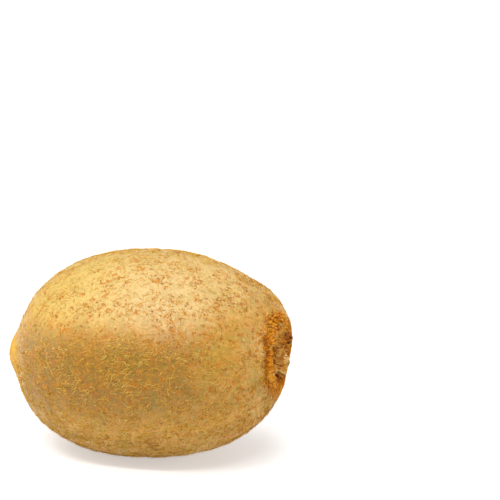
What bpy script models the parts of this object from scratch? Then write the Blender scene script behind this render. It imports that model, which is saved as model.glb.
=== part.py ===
"""A kiwi fruit lying on its side, with the dried remains of its flower at both ends.

Units are metres and +Z is up. The fruit is shaped about its own long axis, which runs from the
dried styles on the beak (-X) to the stalk scar (+X). It is then tipped and lowered until it rests
on a small flat spot at Z = 0, with the origin straight below its centre of volume.
"""

import math
import random

import bmesh
import bpy
from mathutils import Matrix, Vector, noise
from mathutils.bvhtree import BVHTree

# The fruit: half lengths from the widest section to each end, and the mean radius there
STEM_HALF_LENGTH = 0.0335
BEAK_HALF_LENGTH = 0.0319
MID_RADIUS = 0.0252

# A power of 2 is an ellipse. A higher one gives fuller shoulders and a blunter end.
STEM_POWER = 2.33
BEAK_POWER = 2.21

# The fruit is a little wider than it is high
WIDTH_SHARE = 1.036
HEIGHT_SHARE = 0.964

# Swells and hollows that make it uneven: degrees from the stem end, degrees round the fruit from
# +Y, how far the skin stands out there, and how wide that spreads, as a share of the distance
SWELLS = (
    (34, 35, 0.0010, 0.187),
    (57, 57, -0.0012, 0.204),
    (25, -45, -0.0012, 0.125),
    (105, 200, 0.0006, 0.300),
    (70, 150, -0.0005, 0.260),
)

# A faint unevenness all over: how far it moves the skin, and how many patches a radius has
UNEVENNESS = 0.00012
UNEVEN_PATCHES = 2.2

# The stem end: a shallow basin where the stalk broke off, inside a low lumpy rim
BASIN_DEPTH = 0.0018
BASIN_FLOOR_RADIUS = 0.0044
BASIN_EDGE_RADIUS = 0.0082
RIM_HEIGHT = 0.0005
RIM_RADIUS = 0.0092
RIM_WIDTH = 0.0020
RIM_LUMPS = 0.4

# The beak: the hard nub that the styles dried on
BEAK_HEIGHT = 0.0030
BEAK_RADIUS = 0.0066
BEAK_STEEPNESS = 3.2
BEAK_RISE = -0.0006
STYLE_PIT_DEPTH = 0.0006
STYLE_PIT_RADIUS = 0.0016

# How the fruit rests
REST_TILT = math.radians(6.1)
REST_DEPTH = 0.0006

# Facets: round the fruit, from end to end, and how far they crowd towards the two ends
FACETS_ROUND = 68
FACETS_ALONG = 46
END_CROWDING = 0.42

# Edges bent more than this look sharp
SHARP_ANGLE = math.radians(40)

# Pieces that only touch keep this gap
GAP = 0.0003

# Round plates: how wide the sloping shoulder and the step into the hollow are, as shares of the
# radius, and how much of the thickness the shoulder rises
SHOULDER_SHARE = 0.22
HOLLOW_STEP_SHARE = 0.25
SHOULDER_RISE_SHARE = 0.15

# The calyx plate, which holds the stalk's broken stub
PLATE_RADIUS = 0.0040
PLATE_THICKNESS = 0.0008
PLATE_HOLLOW = 0.00008
PLATE_SIDES = 30
STUB_RADIUS = 0.0021
STUB_HEIGHT = 0.0009
STUB_HOLLOW = 0.0005
STUB_SIDES = 15

# The sepals: length and width of each, and how far each curls up at its tip
SEPAL_SIZES = ((0.0044, 0.0048), (0.0048, 0.0040), (0.0041, 0.0046), (0.0037, 0.0044), (0.0050, 0.0052))
SEPAL_CURLS = (0.0004, 0.0002, 0.0003, 0.0006, 0.0001)
SEPAL_COUNT = len(SEPAL_SIZES)
SEPAL_THICKNESS = 0.0007
SEPAL_FIRST_ANGLE = math.radians(24)
SEPAL_ROOT_RADIUS = 0.0026
SEPAL_ROOT_DEPTH = 0.7 * PLATE_THICKNESS
SEPAL_CLEARANCE = 0.0004
SEPAL_STACKING = 0.00008
SEPAL_END_WIDTH_SHARE = 0.65
SEPAL_ROUNDING = 0.14
SEPAL_TEAR = 0.0003
SEPAL_FOLD = 0.0005
SEPAL_CRUMPLE = 0.0004
SEPAL_GRID = (8, 7)

# The withered stamens: where they stand, how long they are, and how they lean and bend, both
# sideways and outwards
STAMEN_COUNT = 22
STAMEN_RING = (0.0024, 0.0031)
STAMEN_ROOT_DEPTH = 0.7 * PLATE_THICKNESS
STAMEN_LENGTH = (0.0014, 0.0025)
STAMEN_RADIUS = 0.00030
STAMEN_LEAN = (-0.2, 0.5)
STAMEN_SIDE_BEND = (-0.4, 0.4)
STAMEN_OUT_BEND = (-0.3, 0.5)
STAMEN_SEED = 11

# The styles: a small hard button with short curled threads round it
BUTTON_RADIUS = 0.0009
BUTTON_HEIGHT = 0.0006
BUTTON_CROWN = 0.00012
BUTTON_SIDES = 12
STYLE_COUNT = 16
STYLE_ROOT_SHARE = (0.3, 0.6)
STYLE_ROOT_DEPTH = 0.6 * BUTTON_HEIGHT
STYLE_LENGTH = (0.0008, 0.0013)
STYLE_RADIUS = 0.00024
STYLE_LIFT = (0.4, 2.0)
STYLE_SIDE_BEND = (-0.5, 0.5)
STYLE_OUT_BEND = (0.0, 0.4)
STYLE_SEED = 5

# Bent threads: sides, stretches, how thick the tip is, and how far from its even place a root may be
THREAD_SIDES = 4
THREAD_STRETCHES = 3
THREAD_TIP_SHARE = 0.45
THREAD_SCATTER = 0.3

SKIN_COLOUR = (0.42, 0.25, 0.075)
SKIN_ROUGHNESS = 0.6
CALYX_COLOUR = (0.16, 0.075, 0.022)
STYLE_COLOUR = (0.13, 0.06, 0.02)
DRY_ROUGHNESS = 0.85


def material(name, colour, roughness):
    made = bpy.data.materials.new(name)
    made.use_nodes = True
    shader = made.node_tree.nodes["Principled BSDF"]
    shader.inputs["Base Color"].default_value = (*colour, 1.0)
    shader.inputs["Roughness"].default_value = roughness
    shader.inputs["Metallic"].default_value = 0.0
    return made


def as_object(name, bm):
    mesh = bpy.data.meshes.new(name)
    bm.to_mesh(mesh)
    bm.free()
    return bpy.data.objects.new(name, mesh)


def finished(name, bm, its_material, parent, place=Matrix.Identity(4)):
    """The bmesh as a smooth-shaded object, parented to the fruit's axis."""
    piece = as_object(name, bm)
    piece.data.shade_smooth()
    piece.data.set_sharp_from_angle(angle=SHARP_ANGLE)
    piece.data.materials.append(its_material)
    bpy.context.scene.collection.objects.link(piece)
    piece.parent = parent
    piece.matrix_basis = place


def smooth_step(low, high, value):
    share = min(max((value - low) / (high - low), 0.0), 1.0)
    return share * share * (3.0 - 2.0 * share)


def stem_relief(radius, angle):
    """How far the stem end stands out at this distance from its middle."""
    basin = -BASIN_DEPTH * (1.0 - smooth_step(BASIN_FLOOR_RADIUS, BASIN_EDGE_RADIUS, radius))
    lumps = 1.0 + RIM_LUMPS * math.cos(SEPAL_COUNT * (angle - SEPAL_FIRST_ANGLE))
    return basin + RIM_HEIGHT * lumps * math.exp(-(((radius - RIM_RADIUS) / RIM_WIDTH) ** 2))


def beak_relief(radius):
    """How far the beak stands out, with a small pit at its tip for the styles."""
    pit = STYLE_PIT_DEPTH * (1.0 - smooth_step(0.6 * STYLE_PIT_RADIUS, 1.3 * STYLE_PIT_RADIUS, radius))
    return BEAK_HEIGHT * math.exp(-((radius / BEAK_RADIUS) ** BEAK_STEEPNESS)) - pit


def direction_at(from_stem_end, round_fruit):
    """A unit vector at these angles, in degrees, from the +X axis and round it from +Y."""
    turn, around = math.radians(from_stem_end), math.radians(round_fruit)
    return Vector((math.cos(turn), math.sin(turn) * math.cos(around), math.sin(turn) * math.sin(around)))


def swell(direction):
    """How far all swells and hollows together move the skin out in this direction."""
    total = UNEVENNESS * noise.noise(direction * UNEVEN_PATCHES)
    for from_stem_end, round_fruit, height, spread in SWELLS:
        nearness = direction.dot(direction_at(from_stem_end, round_fruit))
        total += height * math.exp((nearness - 1.0) / spread**2)
    return total


def skin_point(direction):
    """The point of the skin that lies in this direction from the widest section's middle."""
    along = direction.x
    across = math.hypot(direction.y, direction.z)
    power, half_length = (STEM_POWER, STEM_HALF_LENGTH) if along > 0 else (BEAK_POWER, BEAK_HALF_LENGTH)
    reach = (abs(along) ** power + across**power) ** (-1.0 / power)
    x = half_length * reach * along
    y = MID_RADIUS * reach * direction.y * WIDTH_SHARE
    z = MID_RADIUS * reach * direction.z * HEIGHT_SHARE
    if along > 0:
        x += stem_relief(math.hypot(y, z), math.atan2(z, y))
    else:
        x -= beak_relief(math.hypot(y, z - BEAK_RISE))
    return Vector((x, y, z)) + swell(direction) * direction


def crowded_to_ends(direction):
    """The same direction with its angle from the long axis drawn towards the nearer end."""
    turn = math.acos(min(max(direction.x, -1.0), 1.0))
    turn -= 0.5 * END_CROWDING * math.sin(2.0 * turn)
    side = Vector((0.0, direction.y, direction.z))
    if side.length < 1e-9:
        return direction
    return Vector((math.cos(turn), 0.0, 0.0)) + side.normalized() * math.sin(turn)


def centre_of_volume(bm):
    volume = 0.0
    moment = Vector()
    for loops in bm.calc_loop_triangles():
        a, b, c = (loop.vert.co for loop in loops)
        share = a.dot(b.cross(c)) / 6.0
        volume += share
        moment += share * (a + b + c) / 4.0
    return moment / volume


def skin_bmesh():
    """A sphere with its poles on the long axis, with every point moved out to the skin."""
    bm = bmesh.new()
    poles_on_x = Matrix.Rotation(math.radians(90), 4, "Y")
    bmesh.ops.create_uvsphere(
        bm, u_segments=FACETS_ROUND, v_segments=FACETS_ALONG, radius=1.0, matrix=poles_on_x
    )
    for vertex in bm.verts:
        vertex.co = skin_point(crowded_to_ends(vertex.co.normalized()))
    bmesh.ops.recalc_face_normals(bm, faces=bm.faces)
    return bm


def resting_place(bm):
    """Tips the fruit, then lowers it until the flat spot's plane is Z = 0 below its weight."""
    tip = Matrix.Rotation(-REST_TILT, 4, "Y")
    lowest = min((tip @ vertex.co).z for vertex in bm.verts)
    weight = tip @ centre_of_volume(bm)
    return Matrix.Translation((-weight.x, -weight.y, -lowest - REST_DEPTH)) @ tip


def cut_flat_spot(bm, place):
    """Takes off what lies below Z = 0 and closes the cut with one flat face."""
    to_fruit = place.inverted()
    up = (to_fruit.to_3x3() @ Vector((0.0, 0.0, 1.0))).normalized()
    cut = bmesh.ops.bisect_plane(
        bm,
        geom=bm.verts[:] + bm.edges[:] + bm.faces[:],
        plane_co=to_fruit.translation,
        plane_no=-up,
        clear_outer=True,
    )
    rim = [item for item in cut["geom_cut"] if isinstance(item, bmesh.types.BMEdge)]
    bmesh.ops.edgeloop_fill(bm, edges=rim)
    bmesh.ops.dissolve_degenerate(bm, edges=bm.edges[:], dist=0.00005)
    bmesh.ops.recalc_face_normals(bm, faces=bm.faces)


def ring_directions(angle):
    """Outward and sideways at this angle round a stem or beak frame's +Z."""
    outward = Vector((math.cos(angle), math.sin(angle), 0.0))
    sideways = Vector((-math.sin(angle), math.cos(angle), 0.0))
    return outward, sideways


def bent_thread(start, heading, bend, length, radius):
    """A closed thread that tapers to its tip and bends evenly on the way there."""
    bm = bmesh.new()
    bmesh.ops.create_cone(
        bm,
        segments=THREAD_SIDES,
        radius1=radius,
        radius2=THREAD_TIP_SHARE * radius,
        depth=length,
        cap_ends=True,
        matrix=Matrix.Translation((0.0, 0.0, 0.5 * length)),
    )
    sides = [edge for edge in bm.edges if abs(edge.verts[0].co.z - edge.verts[1].co.z) > 0.5 * length]
    bmesh.ops.subdivide_edges(bm, edges=sides, cuts=THREAD_STRETCHES - 1)
    turned = heading.to_track_quat("Z", "Y").to_matrix()
    for vertex in bm.verts:
        share = vertex.co.z / length
        vertex.co = start + turned @ vertex.co + bend * share * share
    return bm


def plate_bmesh(radius, thickness, sides, hollow, bottom):
    """A round plate that stands on Z = bottom, its top sloping to the edge and hollow inside."""
    bm = bmesh.new()
    bmesh.ops.create_circle(
        bm, cap_ends=True, radius=radius, segments=sides, matrix=Matrix.Translation((0.0, 0.0, bottom))
    )
    top = bmesh.ops.extrude_face_region(bm, geom=bm.faces[:])["geom"]
    top_points = [item for item in top if isinstance(item, bmesh.types.BMVert)]
    bmesh.ops.translate(bm, verts=top_points, vec=(0.0, 0.0, thickness))
    bmesh.ops.recalc_face_normals(bm, faces=bm.faces)
    lid = [item for item in top if isinstance(item, bmesh.types.BMFace)]
    shoulder_rise = SHOULDER_RISE_SHARE * thickness
    bmesh.ops.inset_region(bm, faces=lid, thickness=SHOULDER_SHARE * radius, depth=shoulder_rise)
    bmesh.ops.inset_region(bm, faces=lid, thickness=HOLLOW_STEP_SHARE * radius, depth=-hollow)
    return bm


def sepal(angle, length, width, curl, rise, height_at):
    """A blade that follows the skin outwards from the plate and curls up at its tip.

    height_at(x, y) is the skin's height along the stem axis, so that the blade clears it, and
    rise keeps overlapping sepals at different heights.
    """
    bm = bmesh.new()
    steps, rows = SEPAL_GRID
    bmesh.ops.create_grid(bm, x_segments=steps, y_segments=rows, size=1.0)
    outward, sideways = ring_directions(angle)
    seat = height_at(0.0, 0.0) + GAP + PLATE_THICKNESS - SEPAL_ROOT_DEPTH
    for vertex in bm.verts:
        share = 0.5 * (vertex.co.x + 1.0)
        side = vertex.co.y
        belly = (1.0 - SEPAL_END_WIDTH_SHARE) * math.sin(math.pi * share**0.8)
        half_width = 0.5 * width * (SEPAL_END_WIDTH_SHARE + belly)
        torn = SEPAL_TEAR * noise.noise(Vector((3.0 * side, angle, 0.0))) * share
        skewed = SEPAL_TEAR * noise.noise(Vector((angle, share, 5.0))) * share
        reach = SEPAL_ROOT_RADIUS + length * share * (1.0 - SEPAL_ROUNDING * side * side) + torn
        place = outward * reach + sideways * (half_width * side + skewed)
        over_skin = height_at(place.x, place.y) + SEPAL_CLEARANCE
        crumple = SEPAL_CRUMPLE * (0.5 + noise.noise(Vector((2.5 * side, 3.0 * share, angle)))) * share
        lift = rise + curl * share**2.5 + SEPAL_FOLD * side * side * share + max(crumple, 0.0)
        vertex.co = Vector((place.x, place.y, max(over_skin, seat) + lift))
    bmesh.ops.triangulate(bm, faces=bm.faces)
    upper = bmesh.ops.extrude_face_region(bm, geom=bm.faces[:])["geom"]
    upper_points = [item for item in upper if isinstance(item, bmesh.types.BMVert)]
    bmesh.ops.translate(bm, verts=upper_points, vec=(0.0, 0.0, SEPAL_THICKNESS))
    bmesh.ops.recalc_face_normals(bm, faces=bm.faces)
    return bm


def fused(core, repeats):
    """The core bmesh with all the repeats joined to it by one Boolean union."""
    scene = bpy.context.scene
    base = as_object("fused_core", core)
    scene.collection.objects.link(base)
    group = bpy.data.collections.new("fused_repeats")
    scene.collection.children.link(group)
    for number, bm in enumerate(repeats):
        group.objects.link(as_object(f"repeat_{number}", bm))
    union = base.modifiers.new("union", "BOOLEAN")
    union.operation = "UNION"
    union.operand_type = "COLLECTION"
    union.collection = group
    union.solver = "EXACT"
    bpy.context.view_layer.update()
    whole = bmesh.new()
    whole.from_object(base, bpy.context.evaluated_depsgraph_get())
    for piece in [base, *group.objects]:
        bpy.data.objects.remove(piece)
    bpy.data.collections.remove(group)
    return whole


def calyx_bmesh(skin_tree):
    """Plate, stub, sepals and stamens, in a frame whose +Z is the fruit's +X."""
    far = 2.0 * STEM_HALF_LENGTH

    def height_at(x, y):
        """The skin's height over this place: local x is the fruit's y, local y its z."""
        hit = skin_tree.ray_cast(Vector((far, x, y)), Vector((-1.0, 0.0, 0.0)))[0]
        return hit.x

    floor = height_at(0.0, 0.0) + GAP
    plate_top = floor + PLATE_THICKNESS
    plate = plate_bmesh(PLATE_RADIUS, PLATE_THICKNESS, PLATE_SIDES, PLATE_HOLLOW, floor)
    stub_bottom = plate_top - 0.5 * PLATE_THICKNESS
    stub_thickness = STUB_HEIGHT + 0.5 * PLATE_THICKNESS
    repeats = [plate_bmesh(STUB_RADIUS, stub_thickness, STUB_SIDES, STUB_HOLLOW, stub_bottom)]
    for number, ((length, width), curl) in enumerate(zip(SEPAL_SIZES, SEPAL_CURLS)):
        angle = SEPAL_FIRST_ANGLE + math.tau * number / SEPAL_COUNT
        rise = SEPAL_STACKING * (2 * number % SEPAL_COUNT)
        repeats.append(sepal(angle, length, width, curl, rise, height_at))
    draw = random.Random(STAMEN_SEED)
    root = Vector((0.0, 0.0, plate_top - STAMEN_ROOT_DEPTH))
    for number in range(STAMEN_COUNT):
        scatter = draw.uniform(-THREAD_SCATTER, THREAD_SCATTER)
        outward, sideways = ring_directions(math.tau * (number + scatter) / STAMEN_COUNT)
        start = root + outward * draw.uniform(*STAMEN_RING)
        heading = Vector((0.0, 0.0, 1.0)) + outward * draw.uniform(*STAMEN_LEAN)
        length = draw.uniform(*STAMEN_LENGTH)
        bend = sideways * draw.uniform(*STAMEN_SIDE_BEND) + outward * draw.uniform(*STAMEN_OUT_BEND)
        repeats.append(bent_thread(start, heading, bend * length, length, STAMEN_RADIUS))
    return fused(plate, repeats)


def styles_bmesh(skin_tree):
    """Button and curled styles, in a frame whose +Z is the fruit's -X."""
    far = 2.0 * BEAK_HALF_LENGTH
    tip = skin_tree.ray_cast(Vector((-far, 0.0, BEAK_RISE)), Vector((1.0, 0.0, 0.0)))[0]
    floor = -tip.x + GAP
    button = plate_bmesh(BUTTON_RADIUS, BUTTON_HEIGHT, BUTTON_SIDES, -BUTTON_CROWN, floor)
    draw = random.Random(STYLE_SEED)
    root = Vector((0.0, 0.0, floor + BUTTON_HEIGHT - STYLE_ROOT_DEPTH))
    repeats = []
    for number in range(STYLE_COUNT):
        scatter = draw.uniform(-THREAD_SCATTER, THREAD_SCATTER)
        outward, sideways = ring_directions(math.tau * (number + scatter) / STYLE_COUNT)
        start = root + outward * draw.uniform(*STYLE_ROOT_SHARE) * BUTTON_RADIUS
        heading = outward + Vector((0.0, 0.0, draw.uniform(*STYLE_LIFT)))
        length = draw.uniform(*STYLE_LENGTH)
        bend = sideways * draw.uniform(*STYLE_SIDE_BEND) + outward * draw.uniform(*STYLE_OUT_BEND)
        repeats.append(bent_thread(start, heading, bend * length, length, STYLE_RADIUS))
    return fused(button, repeats)


def build():
    for old in list(bpy.data.objects):
        bpy.data.objects.remove(old)

    skin = skin_bmesh()
    place = resting_place(skin)
    cut_flat_spot(skin, place)
    skin_tree = BVHTree.FromBMesh(skin)

    axis = bpy.data.objects.new("fruit_axis", None)
    bpy.context.scene.collection.objects.link(axis)
    axis.matrix_world = place

    stem_frame = Matrix(((0, 0, 1, 0), (1, 0, 0, 0), (0, 1, 0, 0), (0, 0, 0, 1)))
    beak_frame = Matrix(((0, 0, -1, 0), (0, 1, 0, 0), (1, 0, 0, BEAK_RISE), (0, 0, 0, 1)))

    calyx = calyx_bmesh(skin_tree)
    styles = styles_bmesh(skin_tree)
    skin_material = material("skin", SKIN_COLOUR, SKIN_ROUGHNESS)
    calyx_material = material("dried_sepal", CALYX_COLOUR, DRY_ROUGHNESS)
    style_material = material("dried_style", STYLE_COLOUR, DRY_ROUGHNESS)
    finished("fruit", skin, skin_material, axis)
    finished("dried_calyx", calyx, calyx_material, axis, stem_frame)
    finished("dried_styles", styles, style_material, axis, beak_frame)


build()
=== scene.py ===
# %% [markdown]
# # A kiwi fruit lying on its side
#
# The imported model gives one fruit, its dried calyx and its dried styles as plain solids. This lesson
# gives them their looks: a finely uneven skin with its mottling, the coat of golden hairs, the dark
# hairy ring round the stalk scar, the withered sepals, and the curled styles on the beak.
#
# Every length is in metres. +Z is up, and the fruit rests on Z = 0.

# %% Load the model
import math

import bmesh
import bpy
import numpy as np
from mathutils import Matrix, Vector, noise
from mathutils.bvhtree import BVHTree


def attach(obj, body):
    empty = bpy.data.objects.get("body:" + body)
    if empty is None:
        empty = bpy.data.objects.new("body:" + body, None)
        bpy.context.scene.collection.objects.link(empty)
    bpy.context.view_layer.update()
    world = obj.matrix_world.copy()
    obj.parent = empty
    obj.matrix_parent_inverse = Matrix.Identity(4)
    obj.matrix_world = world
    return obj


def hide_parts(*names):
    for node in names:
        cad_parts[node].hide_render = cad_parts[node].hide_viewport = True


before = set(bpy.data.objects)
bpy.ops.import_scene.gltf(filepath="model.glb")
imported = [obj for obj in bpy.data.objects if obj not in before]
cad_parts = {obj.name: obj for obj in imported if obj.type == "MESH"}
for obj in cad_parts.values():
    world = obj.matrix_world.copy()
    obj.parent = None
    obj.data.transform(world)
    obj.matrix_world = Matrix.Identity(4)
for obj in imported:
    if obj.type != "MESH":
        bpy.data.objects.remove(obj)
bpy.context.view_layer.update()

for node_name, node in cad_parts.items():
    print(node_name, len(node.data.polygons), "triangles")

# %% [markdown]
# ## Where the fruit's own axis lies
#
# The hairs, the colours and the dried parts all follow the fruit's long axis, from the beak to the
# stalk scar. That axis is tipped up a little towards the stalk scar, as the model's is. A frame of its
# own, with X along it, makes every later step plain: the same idea as an empty that things are
# parented to, but the pieces stay at the origin and only their meshes are placed with it.

# %% The fruit's frame
fruit_middle = Vector((-0.00067, 0.00004, 0.02388))
rest_tilt = math.radians(6.1)
beak_rise = -0.0006
fruit_place = Matrix.Translation(fruit_middle) @ Matrix.Rotation(-rest_tilt, 4, "Y")
to_fruit = fruit_place.inverted()
fruit_axis = np.array(fruit_place.to_3x3() @ Vector((1.0, 0.0, 0.0)))

# In these two, Z points away from the fruit at the stalk scar and at the beak
stem_place = fruit_place @ Matrix(((0, 0, 1, 0), (1, 0, 0, 0), (0, 1, 0, 0), (0, 0, 0, 1)))
beak_place = fruit_place @ Matrix(((0, 0, -1, 0), (0, 1, 0, 0), (1, 0, 0, beak_rise), (0, 0, 0, 1)))
print("axis points to", [round(float(part), 3) for part in fruit_axis])

# %% [markdown]
# ## The camera
#
# The photograph looks down on the fruit from 18 degrees above the floor, a little to the stalk scar's
# side, with a long lens. The fruit lies low and left in the frame, so the camera aims at a point above
# and to the right of it, which keeps the shift at zero.

# %% Camera
image_side = 500
pixels_per_metre = 4240
camera_distance = 0.6
camera_azimuth, camera_elevation = math.radians(22), math.radians(18)
aim_right, aim_up = 0.02417, 0.02408

back = Vector(
    (
        math.sin(camera_azimuth) * math.cos(camera_elevation),
        -math.cos(camera_azimuth) * math.cos(camera_elevation),
        math.sin(camera_elevation),
    )
)
right = Vector((math.cos(camera_azimuth), math.sin(camera_azimuth), 0.0))
camera_spot = fruit_middle + camera_distance * back
aim_spot = fruit_middle + aim_right * right + aim_up * back.cross(right)
camera_back = (camera_spot - aim_spot).normalized()
camera_right = (right - right.dot(camera_back) * camera_back).normalized()
camera_up = camera_back.cross(camera_right)

camera = bpy.data.objects.new("camera", bpy.data.cameras.new("camera"))
bpy.context.scene.collection.objects.link(camera)
camera.matrix_world = Matrix.Translation(camera_spot) @ Matrix(
    (camera_right, camera_up, camera_back)
).transposed().to_4x4()
camera.data.sensor_width = 36.0
camera.data.lens = camera.data.sensor_width * pixels_per_metre * camera_distance / image_side
camera.data.clip_start, camera.data.clip_end = 0.01, 20.0
bpy.context.scene.camera = camera
print("lens", round(camera.data.lens, 1), "mm")

# %% [markdown]
# ## The floor and the light
#
# A plain white floor reaches past every side of the view. A large soft lamp hangs almost overhead, a
# little to the left. A narrow strip above the front makes the long highlight on the upper side, and a
# strip on each side lights one end of the fruit. The world's own pale light fills the shadows, and the
# floor throws light back up at the underside, as a white table does.

# %% Floor
floor_half_side = 4.0
floor_grey, floor_glow = 0.55, 0.46
white = (1.0, 1.0, 1.0, 1.0)

floor_bm = bmesh.new()
bmesh.ops.create_grid(floor_bm, x_segments=4, y_segments=4, size=floor_half_side)
floor_mesh = bpy.data.meshes.new("floor")
floor_bm.to_mesh(floor_mesh)
floor_bm.free()
floor = bpy.data.objects.new("floor", floor_mesh)
bpy.context.scene.collection.objects.link(floor)

floor_finish = bpy.data.materials.new("white_floor")
floor_finish.use_nodes = True
floor_shader = floor_finish.node_tree.nodes["Principled BSDF"]
floor_shader.inputs["Base Color"].default_value = (floor_grey, floor_grey, floor_grey, 1.0)
floor_shader.inputs["Roughness"].default_value = 0.9
floor_shader.inputs["Specular IOR Level"].default_value = 0.1
floor_shader.inputs["Emission Color"].default_value = white
floor_shader.inputs["Emission Strength"].default_value = floor_glow
floor.data.materials.append(floor_finish)

# %% Lamps
lamp_distance = 1.0
room_light = 0.62


def soft_lamp(name, azimuth, elevation, width, height, power):
    """A plain white lamp that faces the fruit: angles in degrees, sizes in metres, power in watts."""
    turn, rise = math.radians(azimuth), math.radians(elevation)
    away = Vector((math.sin(turn) * math.cos(rise), -math.cos(turn) * math.cos(rise), math.sin(rise)))
    lamp = bpy.data.lights.new(name, "AREA")
    lamp.shape = "RECTANGLE"
    lamp.size, lamp.size_y = width, height
    lamp.energy = power
    lamp_object = bpy.data.objects.new(name, lamp)
    bpy.context.scene.collection.objects.link(lamp_object)
    facing = away.to_track_quat("Z", "Y").to_matrix().to_4x4()
    lamp_object.matrix_world = Matrix.Translation(fruit_middle + lamp_distance * away) @ facing


soft_lamp("overhead", -78, 71, 1.2, 1.2, 12.0)
soft_lamp("front_strip", 8, 52, 0.7, 0.10, 7.6)
soft_lamp("left_strip", -80, 12, 0.3, 0.6, 3.2)
soft_lamp("right_strip", 112, 3, 0.3, 0.6, 7.0)

world = bpy.data.worlds.new("pale_room")
world.use_nodes = True
sky = world.node_tree.nodes["Background"]
sky.inputs["Color"].default_value = white
sky.inputs["Strength"].default_value = room_light
bpy.context.scene.world = world
bpy.context.scene.view_settings.view_transform = "Standard"
print("lamps:", [item.name for item in bpy.data.lights])

# %% [markdown]
# ## A few helpers for materials and pieces
#
# A material is a small network of nodes. These helpers add one node, one blend of two colours or one
# field of soft patches, so that each material below reads as a list of what the real surface has.


# %% Helpers
def node_in(tree, kind, values, **settings):
    """A node of this kind: values go to its inputs, as numbers or as links from other sockets."""
    made = tree.nodes.new(kind)
    for name, setting in settings.items():
        setattr(made, name, setting)
    for socket, value in values.items():
        if isinstance(value, bpy.types.NodeSocket):
            tree.links.new(value, made.inputs[socket])
        else:
            made.inputs[socket].default_value = value
    return made


def blended(tree, share, first, second, blend_type="MIX"):
    """The first colour where share is 0 and the second where it is 1."""
    mix = node_in(tree, "ShaderNodeMix", {0: share}, data_type="RGBA", blend_type=blend_type)
    for socket, colour in ((mix.inputs[6], first), (mix.inputs[7], second)):
        if isinstance(colour, bpy.types.NodeSocket):
            tree.links.new(colour, socket)
        else:
            socket.default_value = (*colour, 1.0)
    return mix.outputs[2]


def stepped(tree, value, low, high, top=1.0):
    """0 below low and top above high, with a soft step between."""
    return node_in(
        tree,
        "ShaderNodeMapRange",
        {"Value": value, "From Min": low, "From Max": high, "To Min": 0.0, "To Max": top},
        interpolation_type="SMOOTHSTEP",
    ).outputs["Result"]


def patches(tree, place, scale, low, high, top=1.0):
    """Soft patches of noise: scale is how many to a metre."""
    cloud = node_in(
        tree, "ShaderNodeTexNoise", {"Vector": place, "Scale": scale, "Detail": 3.0, "Roughness": 0.6}
    )
    return stepped(tree, cloud.outputs["Fac"], low, high, top)


def new_finish(name, roughness, specular=0.3):
    """A material with its tree, its Principled shader, and the piece's own coordinates."""
    finish = bpy.data.materials.new(name)
    finish.use_nodes = True
    tree = finish.node_tree
    shader = tree.nodes["Principled BSDF"]
    shader.inputs["Roughness"].default_value = roughness
    shader.inputs["Specular IOR Level"].default_value = specular
    place = tree.nodes.new("ShaderNodeTexCoord").outputs["Object"]
    return finish, tree, shader, place


def grained(tree, shader, place, scale, detail, distance, strength=1.0, roughness=0.5):
    """Makes the surface finely rough: scale is how many grains to a metre."""
    grain = node_in(
        tree,
        "ShaderNodeTexNoise",
        {"Vector": place, "Scale": scale, "Detail": detail, "Roughness": roughness},
    )
    bump = node_in(
        tree,
        "ShaderNodeBump",
        {"Height": grain.outputs["Fac"], "Distance": distance, "Strength": strength},
    )
    tree.links.new(bump.outputs["Normal"], shader.inputs["Normal"])


def as_piece(name, mesh, finish, slot, *nodes):
    """A mesh as a piece of the fruit, which may stand for some of the model's nodes."""
    mesh.shade_smooth()
    mesh.materials.append(finish)
    made = bpy.data.objects.new(name, mesh)
    bpy.context.scene.collection.objects.link(made)
    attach(made, "root")
    if nodes:
        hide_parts(*nodes)
    print(name, sum(len(face.vertices) - 2 for face in mesh.polygons), "triangles")


def mesh_of(name, bm):
    mesh = bpy.data.meshes.new(name)
    bm.to_mesh(mesh)
    bm.free()
    return mesh


# %% [markdown]
# The skin's patterns need a few more: two shares multiplied or joined, places that are pushed about,
# small specks, and how far a place lies from the fruit's axis.

# %% Pattern helpers
speck_softness, speck_core = 0.05, 0.4


def both(tree, first, second):
    return node_in(tree, "ShaderNodeMath", {0: first, 1: second}, operation="MULTIPLY").outputs[0]


def either(tree, first, second):
    return node_in(tree, "ShaderNodeMath", {0: first, 1: second}, operation="MAXIMUM").outputs[0]


def wobbled(tree, place, scale, reach):
    """The same place, pushed about by noise, so that what is drawn there gets ragged edges."""
    cloud = node_in(tree, "ShaderNodeTexNoise", {"Vector": place, "Scale": scale, "Detail": 2.0})
    return node_in(
        tree,
        "ShaderNodeVectorMath",
        {0: cloud.outputs["Color"], 1: (reach, reach, reach), 2: place},
        operation="MULTIPLY_ADD",
    ).outputs[0]


def specks(tree, place, scale, size, share):
    """Small marks in a random share of the cells, scale to a metre. size is a share of a cell."""
    cells = node_in(tree, "ShaderNodeTexVoronoi", {"Vector": place, "Scale": scale, "Randomness": 1.0})
    chance = node_in(tree, "ShaderNodeSeparateColor", {"Color": cells.outputs["Color"]}).outputs["Red"]
    picked = stepped(tree, chance, 1.0 - share, 1.0 - share + speck_softness)
    spot = stepped(tree, cells.outputs["Distance"], size, speck_core * size)
    return both(tree, picked, spot)


def from_axis(tree, place, shift):
    """How far a place lies from the fruit's axis, once shifted."""
    across = node_in(
        tree, "ShaderNodeVectorMath", {0: place, 1: (0.0, 1.0, 1.0), 2: shift}, operation="MULTIPLY_ADD"
    ).outputs[0]
    return node_in(tree, "ShaderNodeVectorMath", {0: across}, operation="LENGTH").outputs["Value"]


# %% [markdown]
# ## The skin
#
# The skin is thin, dry and leathery, stretched over the whole berry. The solid already has the shape,
# with facets. A copy of it is merged, its triangles are paired into quads, and two rounds of Catmull
# and Clark subdivision make it smooth. The flat spot underneath gets rings of its own first, so that
# subdivision keeps it flat. Sculpting would do as well, but this follows the model exactly.

# %% Skin mesh
merge_distance = 1e-6
flat_height = 1e-5
flat_ring_widths = (0.0004, 0.0012, 0.0016)


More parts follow.
